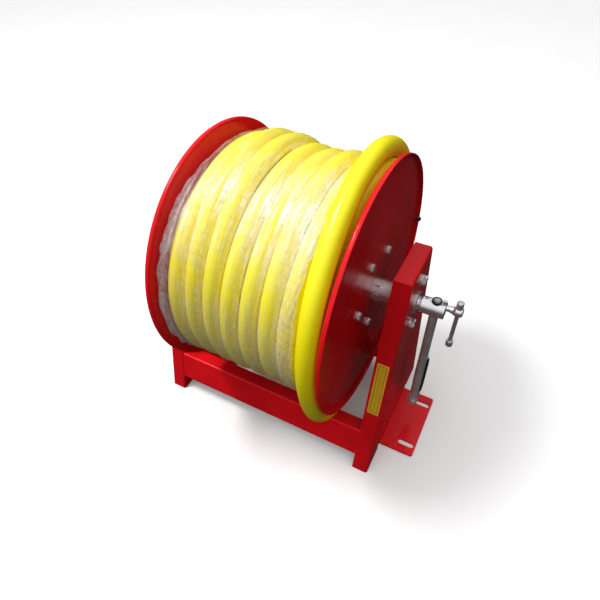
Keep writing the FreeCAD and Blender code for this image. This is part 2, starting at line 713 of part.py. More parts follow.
def grip():
    """Grip that folds about the pin at the arm's end and turns freely on its spindle."""
    low = "dims.axis_height - dims.arm_drop"
    knuckle_far = "dims.grip_offset + 7.5"
    shank = cylinder("pivot_shank", "dims.pin_radius", "dims.eye_half + %s + 9" % knuckle_far, ALONG_Y,
                     at("dims.arm_place", "-dims.eye_half - 1", low))
    head = prism("pivot_head", "dims.pin_flats", "dims.pin_head", AGAINST_Y,
                 at("dims.arm_place", "-dims.eye_half", low))
    keep(joined("Fuse", "grip_pivot_bolt", head, shank), "grip_pivot_bolt")
    nut = prism("pivot_nut_blank", "dims.pin_flats", "dims.pin_nut", ALONG_Y,
                at("dims.arm_place", knuckle_far + " + 0.5", low))
    thread = cylinder("pivot_nut_hole", "dims.pin_radius", "20", ALONG_Y,
                      at("dims.arm_place", knuckle_far + " - 2", low))
    keep(joined("Cut", "grip_pivot_nut", nut, thread), "grip_pivot_nut")

    knuckle = cylinder("knuckle", "8", "dims.grip_offset + 7.5 - dims.eye_half - 0.3", ALONG_Y,
                       at("dims.arm_place", "dims.eye_half + 0.3", low))
    spindle = cylinder("spindle_rod", "dims.spindle_radius", "dims.arm_drop - dims.grip_high + 4", UP,
                       at("dims.arm_place", "dims.grip_offset", low))
    solid = joined("Fuse", "spindle_solid", knuckle, spindle)
    bore = cylinder("spindle_bore", "dims.pin_radius + dims.running_gap", "60", ALONG_Y,
                    at("dims.arm_place", "-10", low))
    keep(joined("Cut", "grip_spindle", solid, bore), "grip_spindle")
    keep(turned("grip_cap", [
        ("-dims.grip_high + 0.4", "dims.spindle_radius"), ("-dims.grip_high + 4", "dims.spindle_radius"),
        ("-dims.grip_high + 4", "dims.spindle_radius + 2.5"),
        ("-dims.grip_high + 3", "dims.spindle_radius + 3.5"),
        ("-dims.grip_high + 0.4", "dims.spindle_radius + 3.5")], upright=True,
        place={"Placement.Base.x": "dims.arm_place", "Placement.Base.y": "dims.grip_offset"}), "grip_end_cap")
    keep(turned("grip_sleeve", [
        ("-dims.grip_low", "dims.spindle_radius + dims.running_gap"),
        ("-dims.grip_high", "dims.spindle_radius + dims.running_gap"),
        ("-dims.grip_high", "dims.grip_radius - 3"), ("-dims.grip_high - 3", "dims.grip_radius - 0.6"),
        ("-dims.grip_high - 20", "dims.grip_radius"), ("-dims.grip_low + 20", "dims.grip_radius"),
        ("-dims.grip_low + 3", "dims.grip_radius - 0.6"), ("-dims.grip_low", "dims.grip_radius - 3")],
        upright=True, place={"Placement.Base.x": "dims.arm_place", "Placement.Base.y": "dims.grip_offset"}),
        "grip_sleeve")


def clamp_screw():
    """Screw that clamps the arm in the hub, with a shoe at its tip and a sliding bar in its head."""
    height = "dims.axis_height + dims.screw_lift"
    seat = "dims.arm_place + dims.arm_radius + 0.05"
    shoe = cylinder("clamp_shoe", "dims.screw_radius - 0.02", "4", ALONG_X, at(seat, "0", height))
    keep(shoe, "clamp_shoe")
    screw = turned("clamp_screw_blank", [
        ("%s + 4.05" % seat, "0"), ("dims.screw_end", "0"), ("dims.screw_end", "dims.screw_head - 3"),
        ("dims.screw_end - 1.5", "dims.screw_head - 0.8"), ("dims.screw_end - 4", "dims.screw_head"),
        ("dims.bar_place - 4", "dims.screw_head"), ("dims.bar_place - 9", "dims.screw_radius + 1.4"),
        ("dims.hub_end + 5", "dims.screw_radius"), ("%s + 4.05" % seat, "dims.screw_radius")],
        place={"Placement.Base.z": height})
    hole = cylinder("clamp_screw_hole", "dims.bar_radius + dims.running_gap", "60", UP,
                    at("dims.bar_place", "0", height + " - 30"))
    keep(joined("Cut", "clamp_screw", screw, hole), "clamp_screw")
    keep(cylinder("tommy_bar", "dims.bar_radius", "dims.bar_up + dims.bar_down - 2", UP,
                  at("dims.bar_place", "0", height + " - dims.bar_down + 1")), "tommy_bar")
    for side, start, outward in (("upper", "dims.bar_up", "-1"), ("lower", "-dims.bar_down", "1")):
        keep(turned("bar_knob_" + side, [
            (start, "dims.bar_radius"), (start, "dims.bar_knob - 1"),
            ("%s + (%s)" % (start, outward), "dims.bar_knob"),
            ("%s + (%s) * (dims.bar_knob_length - 1)" % (start, outward), "dims.bar_knob"),
            ("%s + (%s) * dims.bar_knob_length" % (start, outward), "dims.bar_knob - 1"),
            ("%s + (%s) * dims.bar_knob_length" % (start, outward), "dims.bar_radius")],
            upright=True, place=at("dims.bar_place", "0", height)), "bar_knob_" + side)


# ---------------------------------------------------------------- water inlet and hose

def inlet():
    """Swivel on the left end of the shaft: a socket that turns with the drum and a threaded tail."""
    keep(turned("swivel_socket", [
        ("-dims.shaft_left + 16", "16.6"), ("-dims.shaft_left - 1", "16.6"), ("-dims.shaft_left - 1", "15.4"),
        ("-dims.shaft_left - 13", "15.4"), ("-dims.shaft_left - 13", "23"), ("-dims.shaft_left - 11", "25"),
        ("-dims.shaft_left + 14", "25"), ("-dims.shaft_left + 16", "23")]), "swivel_socket")
    keep(turned("swivel_seal", [
        ("-dims.shaft_left - 6", "13.4"), ("-dims.shaft_left - 3", "13.4"), ("-dims.shaft_left - 3", "15.3"),
        ("-dims.shaft_left - 6", "15.3")]), "swivel_seal")
    tail = turned("swivel_tail_turned", [
        ("-dims.shaft_left - 1.4", "9"), ("-dims.shaft_left - 1.4", "15.33"),
        ("-dims.shaft_left - 2.9", "15.33"), ("-dims.shaft_left - 2.9", "13.3"),
        ("-dims.shaft_left - 6.1", "13.3"), ("-dims.shaft_left - 6.1", "15.33"),
        ("-dims.shaft_left - 13.6", "15.33"), ("-dims.shaft_left - 13.6", "22"),
        ("-dims.inlet_end + 1.5", "22"), ("-dims.inlet_end", "20.5"),
        ("-dims.inlet_end", "dims.inlet_thread"),
        ("-dims.inlet_end + dims.inlet_depth", "dims.inlet_thread"),
        ("-dims.inlet_end + dims.inlet_depth + 2", "9")])
    flats = doc.addObject("Part::Prism", "tail_hex")
    flats.Polygon = 6
    flats.Placement = FreeCAD.Placement(Vector(0, 0, 0), ALONG_X)
    bind(flats, {"Circumradius": "22.5", "Height": "60"})
    bind(flats, at("-dims.inlet_end - 5"))
    keep(joined("Common", "swivel_tail", tail, flats), "swivel_tail")


def riser():
    """Pipe from the shaft through the core, its elbow, and the tail and clamp of the hose's first end."""
    place_x = "-" + RISER_PLACE
    pipe = cylinder("riser_blank", "dims.riser_radius", "dims.first_turn - dims.shaft_radius - 9", AGAINST_Y,
                    at(place_x, "-dims.shaft_radius + 0.5"))
    water = cylinder("riser_water", "dims.riser_bore", "dims.first_turn", AGAINST_Y, at(place_x, "0"))
    saddle = cylinder("riser_saddle", "dims.shaft_radius", "60", ALONG_X, at(place_x + " - 30"))
    keep(joined("Cut", "riser_pipe", pipe, joined("Fuse", "riser_cuts", water, saddle)), "riser_pipe")
    ball = doc.addObject("Part::Sphere", "elbow_ball")
    bind(ball, {"Radius": "16"})
    bind(ball, at(place_x, "-dims.first_turn"))
    stem = cylinder("elbow_stem", "14", "19", UP, at(place_x, "-dims.first_turn"))
    socket = cylinder("elbow_socket", "15", "17", ALONG_Y, at(place_x, "-dims.first_turn"))
    body = joined("Fuse", "elbow_body", joined("Fuse", "elbow_ball_stem", ball, stem), socket)
    entry = cylinder("elbow_entry", "dims.riser_radius", "20", ALONG_Y, at(place_x, "-dims.first_turn + 8.5"))
    across = cylinder("elbow_across", "dims.riser_bore", "20", ALONG_Y, at(place_x, "-dims.first_turn"))
    way = cylinder("elbow_way", "dims.riser_bore", "30", UP, at(place_x, "-dims.first_turn"))
    inside = joined("Fuse", "elbow_water", joined("Fuse", "elbow_inlet", entry, across), way)
    keep(joined("Cut", "riser_elbow", body, inside), "riser_elbow")
    keep(turned("hose_tail_turned", [
        ("0", "8"), ("40", "8"), ("40", "10.5"), ("34", "12.3"), ("34", "11"), ("26", "12.3"), ("26", "11"),
        ("18", "12.3"), ("18", "11"), ("10", "11"), ("10", "14"), ("0", "14")], upright=True,
        place=at(place_x, "-dims.first_turn", "dims.axis_height + 19")), "hose_tail")
    keep(turned("hose_clamp_turned", [
        ("0", "dims.hose_diameter / 2 + 0.05"), ("12", "dims.hose_diameter / 2 + 0.05"),
        ("12", "dims.hose_diameter / 2 + 1"), ("0", "dims.hose_diameter / 2 + 1")], upright=True,
        place=at(place_x, "-dims.first_turn", "dims.axis_height + 38")), "hose_clamp")


def hose():
    """Closed solid of the wound hose and the stretch film round it."""
    inner = "(%s - dims.coil_gap)" % PLATE_FACE
    crown = [("-" + inner, "213"), ("-118", "222"), ("-66", "224"), ("-20", "217"), ("40", "219"),
             ("95", "219")]
    last_turn = [("107", "219"), ("107", "240"), ("115", "248"), ("138", "248"), ("146", "240"),
                 ("146", "222")]
    profile = [("-" + inner, "dims.core_radius + dims.coil_gap")] + crown + last_turn
    profile += [(inner, "215"), (inner, "dims.core_radius + dims.coil_gap")]
    wound = turned("hose_coil_turned", profile)
    inner_room = doc.addObject("Part::Box", "riser_room")
    bind(inner_room, {"Length": "dims.hose_diameter + 3", "Width": "dims.hose_diameter + 3", "Height": "78"})
    bind(inner_room, at("-%s - 0.5" % inner, "-dims.first_turn - dims.hose_diameter / 2 - 1.5",
                        "dims.axis_height - 18"))
    outer_room = doc.addObject("Part::Box", "coupling_room")
    bind(outer_room, {"Length": "60", "Width": "80", "Height": "250"})
    bind(outer_room, at("dims.coupling_place - dims.ferrule_radius - 8",
                        "dims.coupling_circle - dims.ferrule_radius - 8", "dims.axis_height - 249"))
    rooms = joined("Fuse", "hose_rooms", inner_room, outer_room)
    keep(joined("Cut", "hose_coil", wound, rooms), "hose_coil")

    film = [(x, "%s + 0.4" % r) for x, r in crown]
    film += [(x, "%s + 0.8" % r) for x, r in reversed(crown)]
    keep(turned("stretch_film_turned", film), "stretch_film")


def coupling():
    """Ferrule, hexagon and threaded end of the hose, hanging down at the back of the drum."""
    place = at("dims.coupling_place", "dims.coupling_circle")
    ferrule = turned("ferrule_turned", [
        ("0", "dims.hose_diameter / 2 + 0.1"), ("0", "dims.ferrule_radius - 1.5"),
        ("1.5", "dims.ferrule_radius"), ("12", "dims.ferrule_radius"),
        ("14", "dims.ferrule_radius - 0.8"), ("28", "dims.ferrule_radius - 0.8"),
        ("30", "dims.ferrule_radius"), ("40", "dims.ferrule_radius"),
        ("40", "10"), ("37", "10"), ("37", "dims.hose_diameter / 2 + 0.1")], upright=True)
    ferrule.Placement = FreeCAD.Placement(Vector(0, 0, 0), DOWN)
    keep(bind(ferrule, place), "hose_ferrule")
    blank = turned("coupling_turned", [
        ("5", "7.5"), ("5", "9.9"), ("40.1", "9.9"), ("40.1", "19.8"), ("54", "19.8"), ("56", "18"),
        ("58", "15"), ("59", "15"), ("60.5", "dims.outlet_thread"), ("80.5", "dims.outlet_thread"),
        ("82", "15"), ("82", "9"), ("60", "9"), ("55", "7.5")], upright=True)
    blank.Placement = FreeCAD.Placement(Vector(0, 0, 0), DOWN)
    bind(blank, place)
    flats = doc.addObject("Part::Prism", "coupling_hex")
    flats.Polygon = 6
    flats.Placement = FreeCAD.Placement(Vector(0, 0, 0), DOWN)
    bind(flats, dict({"Circumradius": "20.4", "Height": "100"}, **place))
    keep(joined("Common", "hose_coupling", blank, flats), "hose_coupling")


def check_and_write():
    """Check every object and every sub-part, then write one STEP file per sub-part."""
    doc.recompute()
    bad = [item.Name for item in doc.Objects if "Invalid" in item.State or "Error" in item.State]
    if bad:
        raise ValueError("objects that failed: %s" % bad)
    for item in nodes:
        if item.Shape.isNull() or not item.Shape.isValid():
            raise ValueError("%s has no valid shape" % item.Label)
    os.makedirs("parts", exist_ok=True)
    for item in nodes:
        item.Shape.exportStep("parts/%s.step" % item.Label)


side_frame("right_side_frame", "dims.side_reach")
side_frame("left_side_frame", "-dims.side_reach")
beam("front_beam", False)
beam("rear_beam", True)
label_plate()
bearing("right", "dims.side_reach - dims.frame_sheet")
bearing("left", "-dims.side_reach - dims.frame_sheet")
shaft()
shaft_collar("right", "(dims.side_reach - dims.frame_sheet - dims.housing_boss - 3 - dims.collar_width)")
shaft_collar("left", "(-dims.side_reach + 0.5)")
drum()
rim_knob()
crank()
grip()
clamp_screw()
inlet()
riser()
hose()
coupling()
check_and_write()
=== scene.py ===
"""Fire hose reel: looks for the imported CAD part.

Metres, in the part's own frame: +X along the drum's axis towards the crank, +Y to the back, +Z up.
"""

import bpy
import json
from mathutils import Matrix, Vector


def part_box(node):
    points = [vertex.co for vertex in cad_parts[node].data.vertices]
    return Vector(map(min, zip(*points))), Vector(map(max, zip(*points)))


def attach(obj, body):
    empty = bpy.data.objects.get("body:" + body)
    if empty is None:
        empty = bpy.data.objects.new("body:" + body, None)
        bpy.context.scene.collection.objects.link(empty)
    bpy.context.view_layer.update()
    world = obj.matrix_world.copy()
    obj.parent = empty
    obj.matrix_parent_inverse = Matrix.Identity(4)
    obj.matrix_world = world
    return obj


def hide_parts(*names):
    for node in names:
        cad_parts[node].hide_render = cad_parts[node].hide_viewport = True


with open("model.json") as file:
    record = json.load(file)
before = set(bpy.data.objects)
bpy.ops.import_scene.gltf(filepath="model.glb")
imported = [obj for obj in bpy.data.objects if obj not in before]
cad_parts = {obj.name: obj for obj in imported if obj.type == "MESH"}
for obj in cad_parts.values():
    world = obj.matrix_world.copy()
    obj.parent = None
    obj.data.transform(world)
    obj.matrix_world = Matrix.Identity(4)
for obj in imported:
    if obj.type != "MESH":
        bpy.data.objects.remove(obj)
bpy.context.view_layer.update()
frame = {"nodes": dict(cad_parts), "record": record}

import json
import math

import bpy
import numpy as np
from mathutils import Matrix, Vector

NODES = frame["nodes"]
AXIS_Z = 0.3525

# ---------------------------------------------------------------- hose dimensions

HOSE = 0.034
LAYERS = (0.1375, 0.1675, 0.1975)
FLANGE_X = 0.130
LAYER_TURNS = 8.6
TRAVEL_TURNS = 7.6
POINTS_PER_TURN = 20
CORNER = 0.98775          # a quadratic curve's radius over that of its control points, at 20 to a turn
START_ANGLE = math.pi
FIRST_TURN = 0.10
TAIL_Z = AXIS_Z + 0.029   # where the hose leaves its tail in the drum
RISE_TURNS = 0.3          # how long the hose takes to climb to the next layer
END_TURN = 26.5
LEFT_DIP = 0.0205         # how much lower the leftmost turn lies at the top, towards the front
COUPLING_X = 0.117
COUPLING_RADIUS = 0.232
# the bright last turn over the wrapped ones: (turns from the start, x, radius)
LAST_TURN = [
    (25.15, 0.1255, 0.1950), (25.24, 0.1280, 0.2030), (25.34, 0.1300, 0.2045), (25.50, 0.1300, 0.1990),
    (25.58, 0.1300, 0.1975), (25.80, 0.1308, 0.2500), (25.85, 0.1308, 0.2500), (25.88, 0.1308, 0.2430),
    (25.91, 0.1308, 0.2330), (25.94, 0.1308, 0.2250), (25.97, 0.1308, 0.2220), (26.03, 0.1300, 0.2220),
    (26.12, 0.1265, 0.2260), (26.22, 0.1220, 0.2360), (26.33, 0.1192, 0.2375), (26.44, 0.1178, 0.2340),
    (END_TURN, COUPLING_X, COUPLING_RADIUS)]


def smooth(value, low, high):
    """0 below low, 1 above high, and an S between them."""
    t = np.clip((value - low) / (high - low), 0.0, 1.0)
    return t * t * (3 - 2 * t)


def bell(value, middle, width):
    """1 at the middle, falling to 0 on both sides."""
    return np.exp(-((value - middle) / width) ** 2 / 2)


# ---------------------------------------------------------------- materials

class Nodes:
    """Small helper that builds one node tree, one call per node."""

    def __init__(self, name):
        self.material = bpy.data.materials.new(name)
        self.material.use_nodes = True
        self.tree = self.material.node_tree
        self.shader = next(n for n in self.tree.nodes if n.type == "BSDF_PRINCIPLED")
        self.coordinates = self.tree.nodes.new("ShaderNodeTexCoord")
        self.last_bump = None

    def set(self, **values):
        """Values that are the same all over, straight on the shader's sockets."""
        for name, value in values.items():
            self.shader.inputs[name.replace("_", " ")].default_value = value

    def link(self, source, target):
        self.tree.links.new(source, target)

    def scaled(self, scale):
        """Object coordinates, stretched by three scale factors."""
        mapping = self.tree.nodes.new("ShaderNodeMapping")
        mapping.inputs["Scale"].default_value = scale
        self.link(self.coordinates.outputs["Object"], mapping.inputs["Vector"])
        return mapping.outputs["Vector"]

    def around(self):
        """Angle about the drum's axis: 0 at the top, negative at the front, with its seam at the bottom."""
        x, y, z = self.part_of()[:3]
        return x, self.maths("ARCTAN2", y, self.maths("SUBTRACT", z, AXIS_Z))

    def unrolled(self, along, hoop):
        """Texture space of the wound hose laid flat, scaled along the axis and round the hoop."""
        x, angle = self.around()
        node = self.tree.nodes.new("ShaderNodeCombineXYZ")
        self.link(self.maths("MULTIPLY", x, along), node.inputs["X"])
        self.link(self.maths("MULTIPLY", angle, hoop * LAYERS[-1]), node.inputs["Y"])
        return node.outputs["Vector"]

    def window(self, value, low, high, soft):
        """1 between low and high, fading to 0 over a soft margin outside."""
        rising = self.span(value, 0.0, 1.0, low - soft, low + soft)
        falling = self.span(value, 1.0, 0.0, high - soft, high + soft)
        return self.maths("MULTIPLY", rising, falling)

    def noise(self, scale, detail=4.0, stretch=None, rough=0.5, distortion=0.0, space=None):
        node = self.tree.nodes.new("ShaderNodeTexNoise")
        node.inputs["Scale"].default_value = scale
        node.inputs["Detail"].default_value = detail
        node.inputs["Roughness"].default_value = rough
        node.inputs["Distortion"].default_value = distortion
        self.link(space or self.space(stretch), node.inputs["Vector"])
        return node.outputs["Fac"]

    def space(self, stretch):
        return self.scaled(stretch) if stretch else self.coordinates.outputs["Object"]

    def ramp(self, value, stops):
        """Colour ramp from (position, colour or grey) pairs."""
        node = self.tree.nodes.new("ShaderNodeValToRGB")
        elements = node.color_ramp.elements
        while len(elements) < len(stops):
            elements.new(0.5)
        for element, (position, colour) in zip(elements, stops):
            element.position = position
            grey = isinstance(colour, (int, float))
            element.color = (colour, colour, colour, 1) if grey else (*colour, 1)
        self.link(value, node.inputs["Fac"])
        return node.outputs["Color"]

    def span(self, value, low, high, from_low=0.0, from_high=1.0):
        node = self.tree.nodes.new("ShaderNodeMapRange")
        limits = {"From Min": from_low, "From Max": from_high, "To Min": low, "To Max": high}
        for name, number in limits.items():
            node.inputs[name].default_value = number
        self.link(value, node.inputs["Value"])
        return node.outputs["Result"]

    def maths(self, operation, first, second):
        node = self.tree.nodes.new("ShaderNodeMath")
        node.operation = operation
        for socket, value in zip(node.inputs, (first, second)):
            if isinstance(value, (int, float)):
                socket.default_value = value
            else:
                self.link(value, socket)
        return node.outputs["Value"]

    def mix(self, factor, first, second):
        node = self.tree.nodes.new("ShaderNodeMix")
        node.data_type = "RGBA"
        sockets = [s for s in node.inputs if s.type == "RGBA"]
        for socket, value in zip(sockets, (first, second)):
            if isinstance(value, tuple):
                socket.default_value = (*value, 1)
            else:
                self.link(value, socket)
        if isinstance(factor, (int, float)):
            node.inputs[0].default_value = factor
        else:
            self.link(factor, node.inputs[0])
        return next(s for s in node.outputs if s.type == "RGBA")

    def part_of(self):
        """The X, Y and Z of the object coordinates."""
        node = self.tree.nodes.new("ShaderNodeSeparateXYZ")
        self.link(self.coordinates.outputs["Object"], node.inputs[0])
        return node.outputs

    def colour(self, socket):
        self.link(socket, self.shader.inputs["Base Color"])

    def rough(self, socket):
        self.link(socket, self.shader.inputs["Roughness"])

    def bump(self, height, strength, distance=0.001):
        """Add a bump on top of those already there."""
        node = self.tree.nodes.new("ShaderNodeBump")
        node.inputs["Strength"].default_value = strength
        node.inputs["Distance"].default_value = distance
        self.link(height, node.inputs["Height"])
        if self.last_bump is not None:
            self.link(self.last_bump, node.inputs["Normal"])
        self.last_bump = node.outputs["Normal"]
        self.link(self.last_bump, self.shader.inputs["Normal"])


def enamel(name, colour, shade, roughness=0.22):
    """Sprayed gloss enamel: orange peel, slow colour drift, dust and fine scratches."""
    n = Nodes(name)
    n.set(Metallic=0.0, Coat_Weight=0.08, Coat_Roughness=0.04, Specular_IOR_Level=0.14)
    drift = n.noise(9, 5, rough=0.6, distortion=0.3)
    base = n.mix(n.span(drift, 0.0, 1.0, 0.32, 0.68), shade, colour)
    specks = n.ramp(n.noise(420, 2), [(0.0, 0.0), (0.69, 0.0), (0.74, 1.0)])
    rubbed = n.ramp(n.noise(55, 6, stretch=(1, 3, 1), rough=0.7), [(0.0, 0.0), (0.62, 0.0), (0.72, 1.0)])
    marked = n.mix(n.maths("MULTIPLY", rubbed, 0.22), base, tuple(c * 0.55 for c in shade))
    n.colour(n.mix(n.maths("MULTIPLY", specks, 0.25), marked, tuple(c * 0.45 for c in shade)))
    scratches = n.noise(60, 6, stretch=(1, 14, 1), rough=0.7)
    smudge = n.noise(16, 5, distortion=0.6)
    worn = n.maths("ADD", n.span(smudge, roughness - 0.05, roughness + 0.14, 0.35, 0.7),
                   n.span(scratches, 0.0, 0.03, 0.55, 0.75))
    n.rough(worn)
    n.bump(n.noise(260, 2), 0.03, 0.0003)
    n.bump(n.noise(30, 3), 0.03, 0.0012)
    return n.material


def metal(name, colour, dark, roughness, scale=70, stretch=(1, 1, 1), scratch=0.12, metallic=1.0, dull=0.10):
    """Worked metal with directional marks and dull patches."""
    n = Nodes(name)
    n.set(Metallic=metallic)
    patches = n.noise(28, 5, distortion=0.4)
    n.colour(n.mix(n.span(patches, 0.0, 1.0, 0.42, 0.72), colour, dark))
    marks = n.noise(scale, 6, stretch=stretch, rough=0.75)
    n.rough(n.maths("ADD", n.span(marks, roughness * 0.6, roughness * 1.6, 0.3, 0.7),
                    n.span(patches, 0.0, dull, 0.45, 0.75)))
    n.bump(marks, scratch, 0.0002)
    return n.material


def rubbery(name, colour, light, roughness, grain=300, strength=0.2):
    """Moulded or cast matt surface with a fine grain."""
    n = Nodes(name)
    n.set(Metallic=0.0)
    cloud = n.noise(22, 4)
    n.colour(n.mix(n.span(cloud, 0.0, 1.0, 0.35, 0.75), colour, light))
    n.rough(n.span(n.noise(40, 5), roughness - 0.08, roughness + 0.12, 0.3, 0.7))
    n.bump(n.noise(grain, 3), strength, 0.0003)
    return n.material


def hose_cover():
    """Smooth extruded cover, slightly waxy, with faint dirt."""
    n = Nodes("hose_cover")
    n.set(Metallic=0.0, Coat_Weight=0.10, Coat_Roughness=0.15, Specular_IOR_Level=0.4)
    drift = n.noise(7, 3)
    base = n.mix(n.span(drift, 0.0, 1.0, 0.3, 0.7), (0.90, 0.76, 0.004), (0.98, 0.88, 0.006))
    dirt = n.ramp(n.noise(34, 7, rough=0.65, distortion=0.5), [(0.0, 0.0), (0.60, 0.0), (0.80, 1.0)])
    n.colour(n.mix(n.maths("MULTIPLY", dirt, 0.28), base, (0.42, 0.33, 0.05)))
    n.rough(n.span(n.noise(25, 4), 0.26, 0.42, 0.3, 0.7))
    n.bump(n.noise(240, 3), 0.10, 0.0003)
    n.bump(n.noise(45, 3), 0.12, 0.001)
    return n.material


def film_material():
    """Clear stretch film: tight and see-through, with fine creases round the drum and a crumpled lap; over
    the upper front it is painted whiter and more opaque in patches as a painted highlight.
    """
    n = Nodes("stretch_film_clear")
    n.set(Metallic=0.0, IOR=1.5, Specular_IOR_Level=0.7)
    x, angle = n.around()
    pulled = n.unrolled(1.0, 0.16)
    crumpled = n.unrolled(1.0, 0.75)
    creases = n.noise(150, 6, rough=0.62, distortion=0.7, space=pulled)
    broad = n.noise(42, 5, rough=0.6, distortion=0.9, space=pulled)
    folds = n.noise(75, 7, rough=0.70, distortion=1.8, space=crumpled)
    patches = n.noise(14, 4, rough=0.6, distortion=0.8, space=crumpled)
    lap = n.maths("MULTIPLY", n.window(x, 0.070, 0.102, 0.008), n.window(angle, -2.2, -0.15, 0.25))
    # Painted highlight: the band over the upper front of the drum, where the key light glints, is made whiter
    # and more opaque in patches.
    upper = n.window(angle, -0.90, -0.22, 0.20)
    lower = n.window(angle, -2.9, -1.45, 0.30)
    left_end = n.span(x, 1.0, 0.0, -0.143, -0.129)
    thin = n.ramp(creases, [(0.0, 0.03), (0.50, 0.06), (0.60, 0.26), (0.66, 0.12), (1.0, 0.05)])
    glint = n.ramp(broad, [(0.0, 0.05), (0.46, 0.14), (0.56, 0.80), (0.66, 0.45), (1.0, 0.2)])
    white = n.ramp(folds, [(0.0, 0.25), (0.44, 0.45), (0.55, 1.0), (0.64, 0.5), (1.0, 0.35)])
    cloud = n.span(patches, 0.4, 1.2, 0.38, 0.66)
    shine = n.maths("MULTIPLY", glint, n.maths("MULTIPLY", cloud, 0.58))
    painted_glint_and_haze = n.maths("ADD", n.maths("MULTIPLY", upper, shine), n.maths("MULTIPLY", lower, 0.26))
    lap_white = n.maths("MULTIPLY", lap, n.maths("MULTIPLY", white, n.maths("MULTIPLY", cloud, 0.48)))
    end_white = n.maths("MULTIPLY", left_end, n.maths("MULTIPLY", white, 0.75))
    cover = n.maths("ADD", thin, n.maths("ADD", painted_glint_and_haze, n.maths("ADD", lap_white, end_white)))
    n.link(n.maths("MINIMUM", cover, 0.9), n.shader.inputs["Alpha"])
    # Painted highlight: near-white tint in the upper front band, beige elsewhere.
    beige_or_painted_white = n.mix(upper, (0.80, 0.74, 0.60), (0.97, 0.96, 0.92))
    n.colour(n.mix(left_end, beige_or_painted_white, (0.80, 0.66, 0.64)))
    n.rough(n.span(creases, 0.10, 0.30, 0.3, 0.7))
    n.bump(broad, 0.35, 0.004)
    n.bump(creases, 0.30, 0.0015)
    n.bump(n.maths("MULTIPLY", folds, n.maths("MAXIMUM", lap, left_end)), 0.5, 0.004)
    return n.material


def label_print():
    """Yellow plate with a dark double border and no lettering."""
    n = Nodes("label_print")
    low, high = (np.array(corner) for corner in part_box("label_plate"))
    middle = (low + high) / 2
    half_x = (high[0] - low[0]) / 2
    half_z = (high[2] - low[2]) / 2
    x, y, z = n.part_of()[:3]
    from_side = n.maths("SUBTRACT", half_x, n.maths("ABSOLUTE", n.maths("SUBTRACT", x, float(middle[0])), 0))
    from_end = n.maths("SUBTRACT", half_z, n.maths("ABSOLUTE", n.maths("SUBTRACT", z, float(middle[2])), 0))
    inset = n.maths("MINIMUM", from_side, from_end)
    ink = n.window(inset, 0.0036, 0.0047, 0.0002)
    rules = n.window(n.maths("MODULO", from_side, 0.0036), 0.0019, 0.0026, 0.0003)
    inner = n.maths("GREATER_THAN", inset, 0.0060)
    ink = n.maths("MAXIMUM", ink, n.maths("MULTIPLY", n.maths("MULTIPLY", rules, inner), 0.75))
    scuff = n.noise(300, 5, rough=0.7)
    paper = n.mix(n.span(n.noise(30, 3), 0.0, 1.0, 0.3, 0.7), (1.0, 0.56, 0.04), (0.92, 0.48, 0.03))
    tint = n.mix(inner, paper, (0.86, 0.56, 0.015))
    n.colour(n.mix(n.maths("MULTIPLY", ink, n.span(scuff, 0.75, 1.0, 0.3, 0.6)), tint, (0.13, 0.11, 0.01)))
    n.rough(n.span(scuff, 0.30, 0.46, 0.3, 0.7))
    n.bump(scuff, 0.06, 0.0002)
    return n.material


MATERIALS = {
    "red_paint": enamel("red_enamel", (0.80, 0.008, 0.014), (0.60, 0.005, 0.009)),
    "plain_steel": metal("turned_steel", (0.46, 0.46, 0.47), (0.28, 0.27, 0.26), 0.30, 160, (18, 1, 1), 0.2),
    "cast_housing": rubbery("cast_grey", (0.16, 0.17, 0.18), (0.24, 0.25, 0.26), 0.55, 420, 0.55),
    "bronze": metal("bronze", (0.55, 0.36, 0.16), (0.34, 0.22, 0.10), 0.35, 120, (12, 1, 1), 0.2),
    "chrome": metal("bright_plate", (0.80, 0.80, 0.82), (0.66, 0.66, 0.68), 0.07, 180, (20, 1, 1), 0.03,
                    metallic=0.78, dull=0.03),
    "zinc_steel": metal("zinc_plate", (0.66, 0.66, 0.66), (0.46, 0.46, 0.45), 0.22, 150, (1, 1, 8), 0.12,
                        metallic=0.7, dull=0.06),
    "black_steel": metal("black_oxide", (0.10, 0.10, 0.11), (0.05, 0.05, 0.05), 0.26, 150, (1, 1, 1), 0.2),
    "grey_steel": metal("drawn_bar", (0.52, 0.51, 0.50), (0.34, 0.33, 0.32), 0.38, 220, (12, 12, 0.6), 0.2,
                        metallic=0.40),
    "brass": metal("machined_brass", (0.78, 0.58, 0.24), (0.55, 0.39, 0.15), 0.22, 170, (1, 1, 14), 0.15),
    "ferrule_metal": metal("pressed_aluminium", (0.75, 0.76, 0.78), (0.55, 0.56, 0.58), 0.28, 150,
                           (1, 1, 10), 0.15),
    "black_rubber": rubbery("black_rubber", (0.018, 0.018, 0.019), (0.035, 0.034, 0.034), 0.48),
    "black_plastic": rubbery("black_plastic", (0.010, 0.010, 0.011), (0.020, 0.020, 0.021), 0.22, 200, 0.10),
    "yellow_hose": hose_cover(),
    "clear_film": film_material(),
    "label": label_print(),
}
for entry in frame["record"]["subparts"]:
    piece = NODES[entry["node"]]
    piece.data.materials.clear()
    piece.data.materials.append(MATERIALS[entry["material_slot"]])


# ---------------------------------------------------------------- hose

def wound(turn):
    """(x, radius) of the hose's centreline after so many turns from its start on the core."""
    layer = min(len(LAYERS) - 1, int(turn / LAYER_TURNS))
    within = turn - layer * LAYER_TURNS
    rest = (LAYER_TURNS - TRAVEL_TURNS) / 2
    travel = np.clip((within - rest) / TRAVEL_TURNS, 0.0, 1.0)
    side = -1 if layer % 2 == 0 else 1
    x = side * FLANGE_X * (1 - 2 * travel)
    radius = LAYERS[layer]
    if layer + 1 < len(LAYERS):
        climb = smooth(within, LAYER_TURNS - RISE_TURNS, LAYER_TURNS)
        radius += (LAYERS[layer + 1] - LAYERS[layer]) * climb
    return x, radius


